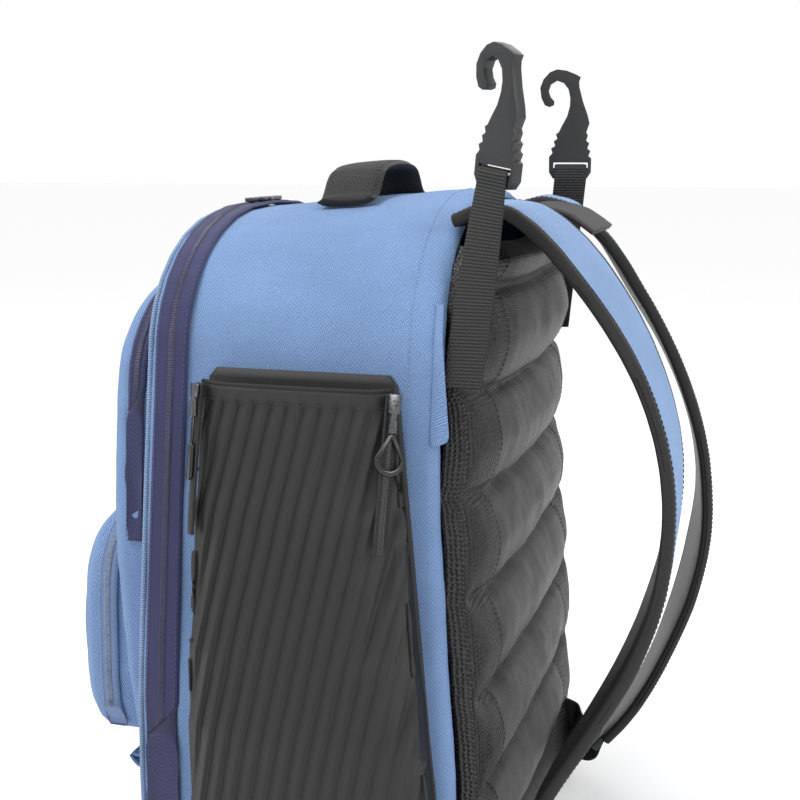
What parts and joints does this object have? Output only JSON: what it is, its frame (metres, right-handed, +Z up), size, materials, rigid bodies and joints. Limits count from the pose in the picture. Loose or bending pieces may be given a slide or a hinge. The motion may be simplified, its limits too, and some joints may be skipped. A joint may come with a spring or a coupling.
{
  "type": "baseball bat backpack",
  "caption": "Soft backpack with pleated bat sleeves, arched zips, lobed back pad, curved padded straps and moulded fence hooks, shown hung by its hooks",
  "frame": {"origin": "midway between the bights of the two fence hooks, where the bag hangs", "axes": "+Z up, +X to the wearer's right as worn, +Y from the bag's front to its back pad"},
  "size_m": [0.4216, 0.4432, 0.5899],
  "materials": {
    "blue_weave": "matt two-tone weave",
    "navy_tape": "matt woven tape",
    "pale_tape": "matt woven tape",
    "black_mesh": "spacer mesh",
    "neoprene": "matt knit-faced",
    "black_webbing": "ribbed weave",
    "black_plastic": "moulded satin",
    "dark_metal": "dark plated"
  },
  "bodies": {
    "root": {"back_pad": "black_mesh", "bat_sleeve_left": "neoprene", "bat_sleeve_right": "neoprene", "fence_hook_left": "black_plastic", "fence_hook_right": "black_plastic", "fence_webbing_left": "black_webbing", "fence_webbing_right": "black_webbing", "front_compartment": "blue_weave", "front_shell": "blue_weave", "front_slider": "black_plastic", "front_zip": "navy_tape", "grab_handle": "black_webbing", "ladder_lock_left": "black_plastic", "ladder_lock_right": "black_plastic", "lower_pocket": "blue_weave", "lower_webbing_left": "black_webbing", "lower_webbing_right": "black_webbing", "main_shell": "blue_weave", "main_slider_left": "black_plastic", "main_slider_right": "black_plastic", "main_zip": "navy_tape", "pocket_slider": "black_plastic", "pocket_tab": "blue_weave", "pocket_zip": "pale_tape", "shoulder_strap_left": "blue_weave", "shoulder_strap_right": "blue_weave", "sleeve_front_pull_left": "black_plastic", "sleeve_front_pull_right": "black_plastic", "sleeve_front_slider_left": "dark_metal", "sleeve_front_slider_right": "dark_metal", "sleeve_front_zip_left": "neoprene", "sleeve_front_zip_right": "neoprene", "sleeve_rear_pull_left": "black_plastic", "sleeve_rear_pull_right": "black_plastic", "sleeve_rear_slider_left": "dark_metal", "sleeve_rear_slider_right": "dark_metal", "sleeve_rear_zip_left": "neoprene", "sleeve_rear_zip_right": "neoprene", "strap_wing_left": "black_mesh", "strap_wing_right": "black_mesh", "strap_yoke": "black_webbing", "webbing_flap_left": "blue_weave", "webbing_flap_right": "blue_weave"}
  },
  "joints": []
}
